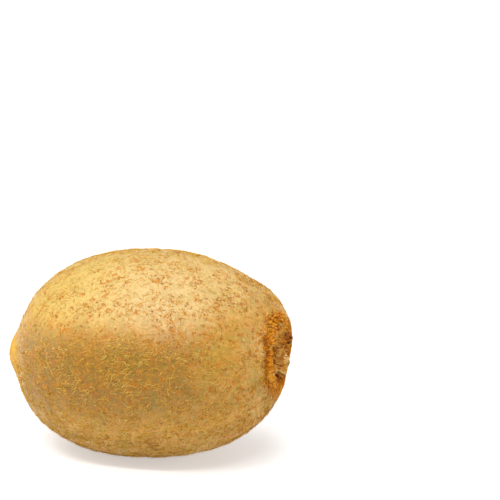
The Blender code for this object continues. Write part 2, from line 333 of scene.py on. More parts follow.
def flat_faces_of(bm):
    return [face for face in bm.faces if all(vertex.co.z < flat_height for vertex in face.verts)]


skin_bm = bmesh.new()
skin_bm.from_mesh(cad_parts["fruit"].data)
bmesh.ops.remove_doubles(skin_bm, verts=skin_bm.verts, dist=merge_distance)
bmesh.ops.dissolve_faces(skin_bm, faces=flat_faces_of(skin_bm))
flat_faces = flat_faces_of(skin_bm)
for ring_width in flat_ring_widths:
    bmesh.ops.inset_region(skin_bm, faces=flat_faces, thickness=ring_width, use_even_offset=True)
bmesh.ops.poke(skin_bm, faces=flat_faces)
bmesh.ops.join_triangles(
    skin_bm,
    faces=skin_bm.faces,
    angle_face_threshold=math.radians(30),
    angle_shape_threshold=math.radians(60),
)
bmesh.ops.recalc_face_normals(skin_bm, faces=skin_bm.faces)
coarse_skin = bpy.data.objects.new("coarse_skin", mesh_of("coarse_skin", skin_bm))
bpy.context.scene.collection.objects.link(coarse_skin)
rounding = coarse_skin.modifiers.new("rounding", "SUBSURF")
rounding.levels = rounding.render_levels = 2
bpy.context.view_layer.update()
skin_mesh = bpy.data.meshes.new_from_object(
    coarse_skin.evaluated_get(bpy.context.evaluated_depsgraph_get())
)
bpy.data.objects.remove(coarse_skin)
skin_mesh.name = "skin"
lowest = min(vertex.co.z for vertex in skin_mesh.vertices)
print("skin:", len(skin_mesh.polygons), "faces, lowest point", lowest)

# %% [markdown]
# The real skin is never quite smooth: it is faintly lumpy, and finely pitted between the hairs. Two
# sizes of noise push each point out or in along its normal. The flat spot is left flat. Beside the
# beak the skin also sinks a little, which sets the beak off from the fruit's shoulder.

# %% Skin unevenness
lump_size, lump_height = 0.0045, 0.00007
pucker_size, pucker_height, pucker_shift = 0.0016, 0.00004, Vector((7.0, 3.0, 1.0))
flat_margin = 0.0015
hollow_depth, hollow_radius, hollow_width = 0.0012, 0.0140, 0.0032
hollow_angle, hollow_spread = math.radians(17), math.radians(48)


def beside_beak(place):
    """How far the skin sinks at this place of the fruit's frame, on the one side of the beak."""
    if place.x > 0.0:
        return 0.0
    radius = math.hypot(place.y, place.z - beak_rise)
    turned = math.atan2(place.z, -place.y) - hollow_angle
    return hollow_depth * math.exp(
        -(((radius - hollow_radius) / hollow_width) ** 2) - (turned / hollow_spread) ** 2
    )


smooth_points = [vertex.co.copy() for vertex in skin_mesh.vertices]
smooth_normals = [vertex.normal.copy() for vertex in skin_mesh.vertices]
uneven_points = []
for point, normal in zip(smooth_points, smooth_normals):
    lumps = lump_height * noise.noise(point / lump_size)
    puckers = pucker_height * noise.noise(point / pucker_size + pucker_shift)
    sunk = beside_beak(to_fruit @ point) * Vector(fruit_axis)
    uneven_points.append(point + (lumps + puckers) * min(point.z / flat_margin, 1.0) * normal + sunk)
skin_mesh.vertices.foreach_set("co", np.array(uneven_points, np.float32).ravel())
skin_mesh.update()

# %% [markdown]
# ## The skin's finish
#
# From a step away the skin is tan. Close up it is several things at once: ochre with olive showing
# through in soft patches, small orange-brown corky specks where hairs have broken off, and a paler
# bloom. The beak is smooth and yellow, and the stalk end is browner. Each is one layer over the last,
# and every pattern is read from the object's own coordinates, turned so that X runs along the fruit.
# A little sheen stands for the finest fuzz, which lightens the rim of the fruit.

# %% Skin finish
skin_finish, tree, shader, place = new_finish("fruit_skin", roughness=0.34, specular=0.42)
on_fruit = node_in(
    tree,
    "ShaderNodeMapping",
    {"Vector": place, "Location": fruit_middle, "Rotation": (0.0, -rest_tilt, 0.0)},
    vector_type="TEXTURE",
).outputs["Vector"]
parts = node_in(tree, "ShaderNodeSeparateXYZ", {"Vector": on_fruit})
along, height = parts.outputs["X"], parts.outputs["Z"]

# %% [markdown]
# The upper side is painted paler and yellower, a painted light and highlight where the lamps above fall,
# and has less olive in it. The flank below it is painted darker and more orange, a painted shade, and the
# underside is painted a little lighter again, as by light thrown up from the floor. All of it is warmer
# towards the beak. Over that lie the patches: olive, pale bloom, and a fine orange grain.

# %% Skin colours
tan, ochre, olive = (0.38, 0.180, 0.022), (0.42, 0.205, 0.018), (0.225, 0.170, 0.014)
# The first colour on the next line is a painted light for the upper side
painted_top_light, bloom_pale = (0.455, 0.315, 0.115), (0.50, 0.35, 0.110)
# The first two colours on the next line are a painted shade for the flank and a painted light for the
# underside
flank_painted_shade, painted_floor_bounce, beak_warmth = (0.61, 0.55, 0.15), (1.20, 1.16, 0.95), (0.98, 0.97, 0.54)
speck_orange, speck_rust, speck_brown = (0.40, 0.150, 0.001), (0.34, 0.120, 0.001), (0.24, 0.080, 0.001)

# Zones, in metres from the fruit's middle: where each starts, and where it is full
lit_upper_side, underside, beakward_side = (0.0092, 0.0168), (-0.0070, -0.0130), (0.0140, -0.0160)
flank_from_below, flank_from_above = (-0.0115, -0.0020), (0.0140, 0.0055)
flank_from_stem, flank_from_beak = (0.0270, 0.0140), (-0.0290, -0.0210)
olive_full_below, olive_least_above = 0.0060, 0.0150
top_light_share, least_olive = 0.92, 0.40

# Patches: how many to a metre, the noise at which one starts and is full, and how much of it shows
ochre_patches, bloom_patches = (90, 0.40, 0.62), (700, 0.54, 0.70, 0.45)
olive_patches = ((230, 0.44, 0.66, 0.55), (950, 0.48, 0.60, 0.66))
orange_grain = (1500, 0.53, 0.66, 0.60)

# %% Skin layers
colour = blended(tree, patches(tree, on_fruit, *ochre_patches), tan, ochre)
# Painted light: the upper side is made paler and yellower where the lamps above fall, with the highlight
colour = blended(tree, stepped(tree, height, *lit_upper_side, top_light_share), colour, painted_top_light)
olive_room = node_in(
    tree,
    "ShaderNodeMapRange",
    {
        "Value": height,
        "From Min": olive_least_above,
        "From Max": olive_full_below,
        "To Min": least_olive,
        "To Max": 1.0,
    },
).outputs["Result"]
for olive_patch in olive_patches:
    olive_share = both(tree, olive_room, patches(tree, on_fruit, *olive_patch))
    colour = blended(tree, olive_share, colour, olive)
colour = blended(tree, patches(tree, on_fruit, *bloom_patches), colour, bloom_pale)
# Painted shade: the flank band round the middle is darkened and made more orange
flank = both(tree, stepped(tree, height, *flank_from_below), stepped(tree, height, *flank_from_above))
for flank_end in (flank_from_stem, flank_from_beak):
    flank = both(tree, flank, stepped(tree, along, *flank_end))
colour = blended(tree, flank, colour, flank_painted_shade, "MULTIPLY")
# Painted light: the underside is lightened, as by light thrown up from the floor
colour = blended(tree, stepped(tree, height, *underside), colour, painted_floor_bounce, "MULTIPLY")
colour = blended(tree, stepped(tree, along, *beakward_side), colour, beak_warmth, "MULTIPLY")
colour = blended(tree, patches(tree, on_fruit, *orange_grain), colour, speck_orange)

# %% [markdown]
# Corky specks stand where hairs have broken off. They come in loose clusters, so a broad field of
# patches says where they may be, a fine one breaks them up, and a wobble keeps them from being round.

# %% Specks
speck_wobble = (1700.0, 0.0014)
cluster_patches, breaking_patches = (210, 0.42, 0.56), (1900, 0.38, 0.54)
# Specks: cells to a metre, the size of one as a share of its cell, and the share of cells with one
large_kind, small_kind = (600, 0.61, 0.80), (950, 0.54, 0.62)

ragged = wobbled(tree, on_fruit, *speck_wobble)
clusters = patches(tree, on_fruit, *cluster_patches)
clusters = both(tree, clusters, patches(tree, on_fruit, *breaking_patches))
large_specks = both(tree, specks(tree, ragged, *large_kind), clusters)
colour = blended(tree, large_specks, colour, speck_rust)
small_specks = both(tree, specks(tree, ragged, *small_kind), clusters)
colour = blended(tree, small_specks, colour, speck_brown)

# %% [markdown]
# The beak's skin is bare and yellow, with orange, olive and brown patches, and it is browner towards the
# styles. The skin round the stalk scar is brown, partly as painted shade under the ring of hairs, and
# nearly black inside the ring, a painted shade between the hairs there.

# %% Colours of the two ends
yellow, orange, brown = (0.50, 0.265, 0.001), (0.43, 0.185, 0.001), (0.26, 0.080, 0.004)
basin_painted_shade = (0.070, 0.020, 0.002)
beak_layers = (
    ((420, 0.42, 0.62), orange),
    ((800, 0.50, 0.66, 0.5), olive),
    ((1500, 0.54, 0.66, 0.6), speck_brown),
)

# Where each end starts along the fruit, and how far from the shifted axis each patch starts
end_wobble = (260.0, 0.0030)
beak_starts, stem_starts = (-0.0180, -0.0200), (0.0250, 0.0280)
beak_shift, styles_shift = (0.0, 0.0022, -0.0007), (0.0, -0.0015, -0.0009)
stem_shift = (0.0, -0.0018, -0.0018)
beak_patch, styles_patch = (0.0100, 0.0068), (0.0055, 0.0016, 0.85)
stem_patch, basin_shade_patch = (0.0086, 0.0074, 0.9), (0.0068, 0.0054, 0.9)

# %% Skin at the two ends
ragged_ends = wobbled(tree, on_fruit, *end_wobble)
styles_around = from_axis(tree, ragged_ends, styles_shift)
beak_around = from_axis(tree, ragged_ends, beak_shift)
beak_colour = yellow
for layer_patches, layer_colour in beak_layers:
    beak_colour = blended(tree, patches(tree, on_fruit, *layer_patches), beak_colour, layer_colour)
beak_colour = blended(tree, stepped(tree, styles_around, *styles_patch), beak_colour, brown)
beak_share = both(tree, stepped(tree, along, *beak_starts), stepped(tree, beak_around, *beak_patch))
colour = blended(tree, beak_share, colour, beak_colour)
stem_around = from_axis(tree, ragged_ends, stem_shift)
# The brown round the stalk scar is partly painted shade under the ring's hairs, and the nearly black basin
# is painted shade
for end_patch, end_colour in ((stem_patch, brown), (basin_shade_patch, basin_painted_shade)):
    end_share = both(tree, stepped(tree, along, *stem_starts), stepped(tree, stem_around, *end_patch))
    colour = blended(tree, end_share, colour, end_colour)
tree.links.new(colour, shader.inputs["Base Color"])

# %% [markdown]
# The skin has a soft shine, which the specks and the bare beak don't share, so the roughness is raised
# where they are.

# %% Skin gloss
dull_roughness = 0.85
dull_share = either(tree, beak_share, either(tree, large_specks, small_specks))
dullness = node_in(
    tree,
    "ShaderNodeMapRange",
    {"Value": dull_share, "To Min": shader.inputs["Roughness"].default_value, "To Max": dull_roughness},
).outputs["Result"]
tree.links.new(dullness, shader.inputs["Roughness"])
shader.inputs["Sheen Weight"].default_value = 0.20
shader.inputs["Sheen Roughness"].default_value = 0.35
shader.inputs["Sheen Tint"].default_value = (1.0, 0.68, 0.24, 1.0)
grained(tree, shader, on_fruit, scale=1500.0, detail=5.0, distance=0.00025, strength=0.6, roughness=0.7)
as_piece("skin", skin_mesh, skin_finish, "skin", "fruit")

# %% [markdown]
# ## One hair
#
# Each hair is a thin three-sided spike that tapers to a point. It starts as a cone, and cuts across it
# give it the rings at which it can bend. A hair is repeated thousands of times, so it has only 4 to 16
# triangles. The particle system would comb hairs more easily, but they would be lost on export, so
# they are real meshes here.

# %% Hair template
point_tolerance = 1e-4


def one_hair(stretches):
    """A closed hair along +Z, one unit long: its points, its triangles."""
    bm = bmesh.new()
    bmesh.ops.create_cone(
        bm,
        cap_ends=True,
        segments=3,
        radius1=1.0,
        radius2=0.0,
        depth=1.0,
        matrix=Matrix.Translation((0.0, 0.0, 0.5)),
    )
    bmesh.ops.remove_doubles(bm, verts=bm.verts, dist=point_tolerance)
    for cut in range(1, stretches):
        bmesh.ops.bisect_plane(
            bm,
            geom=bm.verts[:] + bm.edges[:] + bm.faces[:],
            plane_co=(0.0, 0.0, cut / stretches),
            plane_no=(0.0, 0.0, 1.0),
        )
    for vertex in bm.verts:
        around = Vector((vertex.co.x, vertex.co.y, 0.0))
        if around.length > point_tolerance:
            around = around.normalized() * (1.0 - vertex.co.z**2)
            vertex.co = around + Vector((0.0, 0.0, vertex.co.z))
    bmesh.ops.triangulate(bm, faces=bm.faces)
    bmesh.ops.recalc_face_normals(bm, faces=bm.faces)
    bm.verts.index_update()
    points = np.array([vertex.co for vertex in bm.verts])
    triangles = np.array([[vertex.index for vertex in face.verts] for face in bm.faces])
    bm.free()
    return points, triangles


long_hair, short_hair, stubble = one_hair(3), one_hair(2), one_hair(1)
print("triangles a hair:", [len(shape[1]) for shape in (long_hair, short_hair, stubble)])

# %% [markdown]
# ## Where hairs grow, and which way they lie
#
# Roots are scattered over the skin by area, so that they are as dense on the shoulders as on the
# belly. Hairs lie down along the fruit, and turn more and more across it towards the beak, with
# clumps that go astray. NumPy works out all roots at once. The seed fixes them, so the coat is the
# same every time.

# %% Surface to grow on
lowest_root = 0.0002

skin_mesh.calc_loop_triangles()
skin_points = np.array([vertex.co for vertex in skin_mesh.vertices])
skin_normals = np.array([vertex.normal for vertex in skin_mesh.vertices])
skin_triangles = np.array([triangle.vertices for triangle in skin_mesh.loop_triangles])
corner_a, corner_b, corner_c = (skin_points[skin_triangles[:, corner]] for corner in range(3))
triangle_areas = 0.5 * np.linalg.norm(np.cross(corner_b - corner_a, corner_c - corner_a), axis=1)
area_so_far = np.cumsum(triangle_areas)
print("skin area", round(area_so_far[-1] * 1e4, 1), "square centimetres")


def unit(vectors):
    return vectors / np.maximum(np.linalg.norm(vectors, axis=1, keepdims=True), 1e-12)


def in_fruit_frame(points):
    turn = np.array(to_fruit.to_3x3())
    return points @ turn.T + np.array(to_fruit.translation)


def noise_at(places, size, shift=(0.0, 0.0, 0.0)):
    """Smooth noise from -1 to 1 at each place, whose waves are about this size."""
    return np.array([noise.noise(Vector(place) / size + Vector(shift)) for place in places])


def scattered_roots(draw, count, density):
    """count roots and normals. density gives each root's chance to be kept, from its fruit frame place."""
    kept_roots, kept_normals, found = [], [], 0
    while found < count:
        chosen = np.searchsorted(area_so_far, draw.random(2 * count) * area_so_far[-1])
        shares = draw.dirichlet((1.0, 1.0, 1.0), len(chosen))[:, :, None]
        roots = (skin_points[skin_triangles[chosen]] * shares).sum(axis=1)
        normals = unit((skin_normals[skin_triangles[chosen]] * shares).sum(axis=1))
        keep = draw.random(len(chosen)) < density(in_fruit_frame(roots))
        keep &= roots[:, 2] > lowest_root
        kept_roots.append(roots[keep])
        kept_normals.append(normals[keep])
        found += int(keep.sum())
    return np.concatenate(kept_roots)[:count], np.concatenate(kept_normals)[:count]


# %% [markdown]
# ## Growing a coat
#
# A coat takes its roots and bends one copy of the hair at each: it leaves the skin at a slope, lies
# down, and curves to one side. The steeper it stands, the less far it leans. The map of each coat,
# called OFBake, holds the hair's own shade across and its height along, so that the material can
# colour each hair from root to tip.

# %% Coat of hairs
root_depth, floor_gap = 0.00006, 0.00004
least_lean, lean_lost = 0.15, 0.35
map_margin = 0.02
across_turn, stray_turn, stray_size = 1.1, 1.1, 0.006
beak_half_length = 0.026


def coat(name, shape, roots, normals, combs, length, width, lift, bend, droop, shade, finish):
    """One mesh of hairs. All arguments after combs up to shade are one number a hair."""
    points, triangles = shape
    sides = np.cross(normals, combs)
    slope = unit(combs + (2.0 * lift)[:, None] * normals)
    across = np.cross(sides, slope)
    share = points[:, 2][None, :, None]
    reach = length[:, None, None]
    rise = lift[:, None, None] * (2.0 * share - share**2) - droop[:, None, None] * share**3
    lean = np.maximum(1.0 - lean_lost * lift, least_lean)[:, None, None]
    centre = (
        roots[:, None, :]
        - root_depth * normals[:, None, :]
        + reach * lean * share * combs[:, None, :]
        + reach * rise * normals[:, None, :]
        + reach * bend[:, None, None] * share**2 * sides[:, None, :]
    )
    half = 0.5 * width[:, None, None]
    places = (
        centre
        + half * points[:, 0][None, :, None] * sides[:, None, :]
        + half * points[:, 1][None, :, None] * across[:, None, :]
    )
    places[:, :, 2] = np.maximum(places[:, :, 2], floor_gap)
    first = np.arange(len(roots))[:, None, None] * len(points)
    all_triangles = (triangles[None, :, :] + first).reshape(-1, 3)
    mesh = bpy.data.meshes.new(name)
    mesh.from_pydata(places.reshape(-1, 3), [], all_triangles)
    shades = np.broadcast_to(shade[:, None], (len(roots), triangles.size))
    heights = np.broadcast_to(points[triangles.ravel(), 2][None, :], shades.shape)
    heights = map_margin + (1.0 - 2.0 * map_margin) * heights
    maps = mesh.uv_layers.new(name="OFBake")
    maps.data.foreach_set("uv", np.stack((shades, heights), axis=-1).astype(np.float32).ravel())
    as_piece(name, mesh, finish, "skin")


def combed(draw, roots, normals, scatter):
    """The way that each hair lies: along the fruit, turning across it towards the beak."""
    towards_beak = unit(-fruit_axis - (normals @ -fruit_axis)[:, None] * normals)
    sideways = np.cross(normals, towards_beak)
    places = in_fruit_frame(roots)
    beakward = np.clip(-places[:, 0] / beak_half_length, 0.0, 1.0)
    astray = stray_turn * noise_at(places, stray_size)
    turn = -across_turn * beakward**1.5 + astray + draw.normal(0.0, scatter, len(roots))
    return np.cos(turn)[:, None] * towards_beak + np.sin(turn)[:, None] * sideways


# %% [markdown]
# ## The hairs' colours
#
# Most hairs are pale gold, some are orange, and some are dry and brown. The shade in the map picks the
# colour along a ramp, and the root is darkened with a painted shade, where the hairs crowd near the skin.


# %% Hair finish
def hair_finish(name, colours, root_painted_shade):
    """A matte finish whose colour follows each hair's shade. The root is darkened with a painted shade."""
    finish, tree, shader, _ = new_finish(name, roughness=0.6, specular=0.1)
    uv = node_in(tree, "ShaderNodeUVMap", {}, uv_map="OFBake").outputs["UV"]
    parts = node_in(tree, "ShaderNodeSeparateXYZ", {"Vector": uv})
    ramp = node_in(tree, "ShaderNodeValToRGB", {"Fac": parts.outputs["X"]})
    stops = ramp.color_ramp.elements
    while len(stops) < len(colours):
        stops.new(0.5)
    for number, (stop, colour) in enumerate(zip(stops, colours)):
        stop.position = number / (len(colours) - 1)
        stop.color = (*colour, 1.0)
    # Painted shade: the lower part of each hair is darkened towards the root
    low = stepped(tree, parts.outputs["Y"], 0.7, 0.0)
    shaded = blended(tree, low, ramp.outputs["Color"], root_painted_shade, "MULTIPLY")
    tree.links.new(shaded, shader.inputs["Base Color"])
    return finish


golden_colours = (
    (0.22, 0.080, 0.004), (0.38, 0.14, 0.006), (0.60, 0.29, 0.018), (0.74, 0.46, 0.060),
    (0.82, 0.60, 0.16),
)
ring_colours = (
    (0.11, 0.026, 0.002), (0.50, 0.13, 0.002), (0.80, 0.28, 0.003), (0.90, 0.43, 0.010),
    (0.90, 0.65, 0.20),
)
golden_finish = hair_finish("golden_hair", golden_colours, root_painted_shade=(0.75, 0.62, 0.45))
ring_finish = hair_finish("stem_hair", ring_colours, root_painted_shade=(0.60, 0.40, 0.20))

# %% [markdown]
# ## The coats on the skin
#
# Three sizes of hair lie over each other: long curved ones, shorter ones, and a stubble of the
# finest, which gives the rim its soft edge. On the upper side handling has rubbed most of them off,
# which leaves broken brown stumps. Few hairs grow on the beak, and none under the calyx. Near the
# stalk scar the hairs are browner.

# %% Where the coats grow
hair_draw = np.random.default_rng(2024)
# The rubbed band, in degrees round the fruit from the camera's side up: its two soft edges
rubbed_from, rubbed_to = (14.0, 30.0), (100.0, 82.0)
rubbed_off = 0.75
calyx_start, calyx_radius = 0.025, 0.0068
beak_start, beak_edge, beak_hairs = -0.020, (0.0080, 0.0145), 0.12
browner_edge, browner_shade = (0.014, 0.028), 0.18
hair_patch_size, hair_patch_shares = 0.0026, (0.45, 1.3, 0.06)
stump_patch_size, stump_patch_shares = 0.0034, (0.30, 1.8, 0.03)
stump_patch_shift = (5.0, 1.0, 2.0)
stump_free_radius, stumps_elsewhere = 0.012, 0.25


def eased(low, high, values):
    share = np.clip((values - low) / (high - low), 0.0, 1.0)
    return share * share * (3.0 - 2.0 * share)


def rubbed(places):
    """1 on the rubbed band along the upper side, and 0 away from it."""
    turned = np.degrees(np.arctan2(places[:, 2], -places[:, 1]))
    return eased(*rubbed_from, turned) * eased(*rubbed_to, turned)


def bare_ends(places):
    """The chance of a hair: few on the beak and the rubbed band, and none under the calyx."""
    around = np.hypot(places[:, 1], places[:, 2])
    under_calyx = (places[:, 0] > calyx_start) & (around < calyx_radius)
    beak_fade = beak_hairs + (1.0 - beak_hairs) * eased(*beak_edge, around)
    chance = np.where(places[:, 0] < beak_start, beak_fade, 1.0)
    return np.where(under_calyx, 0.0, chance) * (1.0 - rubbed_off * rubbed(places))


def in_patches(cloud, shares):
    """The chance of a hair in soft patches: its middle, its swing and its least value."""
    middle, swing, least = shares
    return np.clip(middle + swing * cloud, least, 1.0)


def patchy(places):
    """Hairs stand in loose patches, with barer skin between."""
    return bare_ends(places) * in_patches(noise_at(places, hair_patch_size), hair_patch_shares)


def stumpy(places):
    """Stumps stand in clusters, most of all on the rubbed band."""
    cloud = noise_at(places, stump_patch_size, stump_patch_shift)
    off_ends = np.where(np.hypot(places[:, 1], places[:, 2]) > stump_free_radius, 1.0, 0.0)
    on_band = stumps_elsewhere + (1.0 - stumps_elsewhere) * rubbed(places)
    return off_ends * on_band * in_patches(cloud, stump_patch_shares)


# %% [markdown]
# Each coat has its own count, lengths, widths and lifts, and its hairs differ: how far they bend to
# the side, how pale they are, and how much their heading scatters.

# %% Skin coats
least_shade, most_shade = 0.02, 0.98
skin_droop = (0.0, 0.12)
hair_widths, fuzz_widths, stump_widths = (0.00007, 0.00012), (0.00006, 0.00010), (0.00016, 0.00028)


def grow_coat(name, shape, count, lengths, widths, lifts, bend, shade, shade_spread, scatter, density):
    roots, normals = scattered_roots(hair_draw, count, density)
    combs = combed(hair_draw, roots, normals, scatter)
    browner = browner_shade * eased(*browner_edge, in_fruit_frame(roots)[:, 0])
    coat(
        name,
        shape,
        roots,
        normals,
        combs,
        hair_draw.uniform(*lengths, count),
        hair_draw.uniform(*widths, count),
        hair_draw.uniform(*lifts, count),
        hair_draw.normal(0.0, bend, count),
        hair_draw.uniform(*skin_droop, count),
        np.clip(hair_draw.normal(shade, shade_spread, count) - browner, least_shade, most_shade),
        golden_finish,
    )


grow_coat(
    "long_hairs", long_hair, 7000, lengths=(0.0012, 0.0024), widths=hair_widths, lifts=(0.06, 0.22),
    bend=0.40, shade=0.78, shade_spread=0.20, scatter=0.5, density=patchy,
)
grow_coat(
    "middle_hairs", short_hair, 12500, lengths=(0.0006, 0.0014), widths=hair_widths, lifts=(0.10, 0.50),
    bend=0.35, shade=0.60, shade_spread=0.28, scatter=0.8, density=patchy,
)
grow_coat(
    "fine_fuzz", stubble, 38000, lengths=(0.0003, 0.0008), widths=fuzz_widths, lifts=(0.2, 1.0),
    bend=0.3, shade=0.66, shade_spread=0.28, scatter=1.2, density=bare_ends,
)
grow_coat(
    "hair_stumps", stubble, 4600, lengths=(0.0004, 0.0009), widths=stump_widths, lifts=(0.1, 0.3),
    bend=0.3, shade=0.40, shade_spread=0.10, scatter=1.2, density=stumpy,
)

# %% [markdown]
# ## The ring of hairs round the stalk scar
#
# Round the scar the hairs are dense and orange-brown, and stand up in a ragged ring, in tufts that are
# each a little darker or paler. On the far side and underneath they are pressed down. Inside the ring
# they lean in over the dried sepals, and are yellower.

# %% Where the ring grows
ring_start = 0.022
ring_radius, ring_inner_width, ring_outer_width = 0.0077, 0.0020, 0.0014
ring_centre_y, ring_centre_z = 0.0003, -0.0002
ring_wave, ring_wave_size = 0.0012, 0.004
basin_inner_radius, basin_outer_radius = 0.0030, 0.0072


def ring_distance(places):
    """How far each place lies from the ring's own middle, with a ragged edge."""
    ragged = ring_wave * noise_at(places, ring_wave_size)
    return np.hypot(places[:, 1] - ring_centre_y, places[:, 2] - ring_centre_z) + ragged


def in_ring(places):
    beyond = ring_distance(places) - ring_radius
    nearness = np.exp(-((beyond / np.where(beyond > 0.0, ring_outer_width, ring_inner_width)) ** 2))
    return np.where(places[:, 0] > ring_start, nearness, 0.0)


def in_basin(places):
    around = np.hypot(places[:, 1], places[:, 2])
    inside = (around > basin_inner_radius) & (around < basin_outer_radius)
    return np.where((places[:, 0] > ring_start) & inside, 1.0, 0.0)


# %% Stem ring
ring_widths, ring_droop = (0.00009, 0.00016), (0.0, 0.25)
ring_scatter, ring_bend = 1.2, 0.35
tuft_shade, tuft_size = 0.55, 0.0011
pressed_edge, pressed_share = (0.0030, 0.0070), 0.45


def grow_ring(name, shape, count, density, lengths, lifts, shade, shade_spread, seed):
    draw = np.random.default_rng(seed)
    roots, normals = scattered_roots(draw, count, density)
    middle = np.array(fruit_middle)
    outwards = roots - (roots - middle) @ fruit_axis[:, None] * fruit_axis - middle
    inwards = unit(-outwards - (np.einsum("ij,ij->i", -outwards, normals))[:, None] * normals)
    sideways = np.cross(normals, inwards)
    turn = draw.normal(0.0, ring_scatter, count)
    combs = np.cos(turn)[:, None] * inwards + np.sin(turn)[:, None] * sideways
    places = in_fruit_frame(roots)
    tufts = tuft_shade * noise_at(places, tuft_size)
    far_side, underneath = eased(*pressed_edge, places[:, 1]), eased(*pressed_edge, -places[:, 2])
    pressed = 1.0 - pressed_share * np.maximum(far_side, underneath)
    coat(
        name,
        shape,
        roots,
        normals,
        unit(combs),
        draw.uniform(*lengths, count) * pressed,
        draw.uniform(*ring_widths, count),
        draw.uniform(*lifts, count) * pressed,
        draw.normal(0.0, ring_bend, count),
        draw.uniform(*ring_droop, count),
        np.clip(draw.normal(shade, shade_spread, count) + tufts, least_shade, most_shade),
        ring_finish,
    )


grow_ring(
    "stem_ring_hairs", short_hair, 8500, in_ring,
    lengths=(0.0010, 0.0021), lifts=(0.30, 1.00), shade=0.50, shade_spread=0.24, seed=31,
)
grow_ring(
    "basin_fuzz", short_hair, 3200, in_basin,
    lengths=(0.0010, 0.0020), lifts=(0.5, 1.1), shade=0.66, shade_spread=0.16, seed=33,
)
grow_ring(
    "basin_hairs", long_hair, 180, in_basin,
    lengths=(0.0018, 0.0030), lifts=(0.4, 0.9), shade=0.94, shade_spread=0.05, seed=32,
)

# %% [markdown]
# ## The dried calyx
#
# Where the stalk broke off there is a corky plate with a hollow stub, and round it the five sepals of
# the flower have dried into thin, brown, crumpled blades. The plate is a profile spun about its axis.
# Each sepal is a grid bent over the skin and given a thickness. Cork, sepals and threads are all dry:
# a matte ground in two colours, with darker spots over it and a rough grain.


# %% Dry finishes
def dry_finish(name, dark, light, spots, broad, fine, roughness, specular, grain):
    """broad and fine are for patches, of the light colour and of the spots. grain is for grained."""
    finish, tree, shader, place = new_finish(name, roughness, specular)
    colour = blended(tree, patches(tree, place, *broad), dark, light)
    colour = blended(tree, patches(tree, place, *fine), colour, spots)
    tree.links.new(colour, shader.inputs["Base Color"])
    grained(tree, shader, place, *grain)
    return finish


def sepal_finish(name, dark, light, spots):
    return dry_finish(
        name,
        dark,
        light,
        spots,
        broad=(700, 0.38, 0.62),
        fine=(2200, 0.52, 0.66, 0.8),
        roughness=0.8,
        specular=0.1,
        grain=(2400.0, 5.0, 0.00025),
    )


cork_finish = dry_finish(
    "cork",
    dark=(0.30, 0.110, 0.012),
    light=(0.50, 0.26, 0.050),
    spots=(0.060, 0.022, 0.006),
    broad=(900, 0.35, 0.65),
    fine=(2600, 0.50, 0.70, 0.7),
    roughness=0.85,
    specular=0.15,
    grain=(3000.0, 4.0, 0.0002),
)
dark_sepal = sepal_finish("dark_sepal", (0.075, 0.016, 0.002), (0.36, 0.115, 0.008), (0.020, 0.005, 0.001))
pale_sepal = sepal_finish("pale_sepal", (0.40, 0.24, 0.055), (0.70, 0.48, 0.18), (0.12, 0.050, 0.010))
thread_finish = sepal_finish("dry_thread", (0.22, 0.070, 0.006), (0.56, 0.24, 0.022), (0.060, 0.016, 0.003))

# %% Heights over the skin
beyond_fruit = 0.06
skin_tree = BVHTree.FromPolygons(
    [vertex.co.copy() for vertex in skin_mesh.vertices],
    [tuple(face.vertices) for face in skin_mesh.polygons],
)


def skin_height(end_place, x, y):
    """How far out the skin lies at this place of an end's frame."""
    start = end_place @ Vector((x, y, beyond_fruit))
    hit = skin_tree.ray_cast(start, end_place.to_3x3() @ Vector((0.0, 0.0, -1.0)))[0]
    return (end_place.inverted() @ hit).z


stem_floor = skin_height(stem_place, 0.0, 0.0)
beak_floor = skin_height(beak_place, 0.0, 0.0)
print("stem floor", stem_floor, "beak floor", beak_floor)


# %% Helpers for the ends
def spun(profile, floor, steps):
    """A profile of radii and heights over an end's floor, spun about the end's axis."""
    bm = bmesh.new()
    points = [bm.verts.new((radius, 0.0, floor + height)) for radius, height in profile]
    line = [bm.edges.new(pair) for pair in zip(points, points[1:])]
    bmesh.ops.spin(
        bm,
        geom=points + line,
        cent=(0.0, 0.0, 0.0),
        axis=(0.0, 0.0, 1.0),
        angle=math.tau,
        steps=steps,
        use_merge=True,
    )
    bmesh.ops.remove_doubles(bm, verts=bm.verts, dist=merge_distance)
    return bm


def at_end(name, bm, end_place):
    """The mesh of a bmesh that was made in an end's frame, in its place on the fruit."""
    bmesh.ops.transform(bm, matrix=end_place, verts=bm.verts)
    bmesh.ops.recalc_face_normals(bm, faces=bm.faces)
    return mesh_of(name, bm)


# %% Plate and stub
plate_profile = (
    (0.0000, 0.00055), (0.0009, 0.00060), (0.0014, 0.00100), (0.0019, 0.00175), (0.0022, 0.00165),
    (0.0024, 0.00110), (0.0031, 0.00095), (0.0037, 0.00080), (0.0041, 0.00045), (0.0041, 0.00010),
    (0.0000, 0.00010),
)
plate_steps, plate_underside = 48, 0.0002
broken_share, broken_size = 0.35, 0.0007
crumb_height, crumb_size = 0.00012, 0.0003
out_of_round, out_of_round_size = 0.10, 0.0012

plate_bm = spun(plate_profile, stem_floor, plate_steps)
bmesh.ops.subdivide_edges(plate_bm, edges=plate_bm.edges, cuts=1, use_grid_fill=True)
for vertex in plate_bm.verts:
    above = vertex.co.z - stem_floor
    broken = broken_share * above * noise.noise(vertex.co / broken_size)
    crumbs = crumb_height * noise.noise(vertex.co / crumb_size)
    vertex.co.z += broken + crumbs if above > plate_underside else 0.0
    vertex.co.xy *= 1.0 + out_of_round * noise.noise(vertex.co / out_of_round_size)
stalk_scar = at_end("stalk_scar", plate_bm, stem_place)
as_piece("stalk_scar", stalk_scar, cork_finish, "dried_sepal", "dried_calyx")

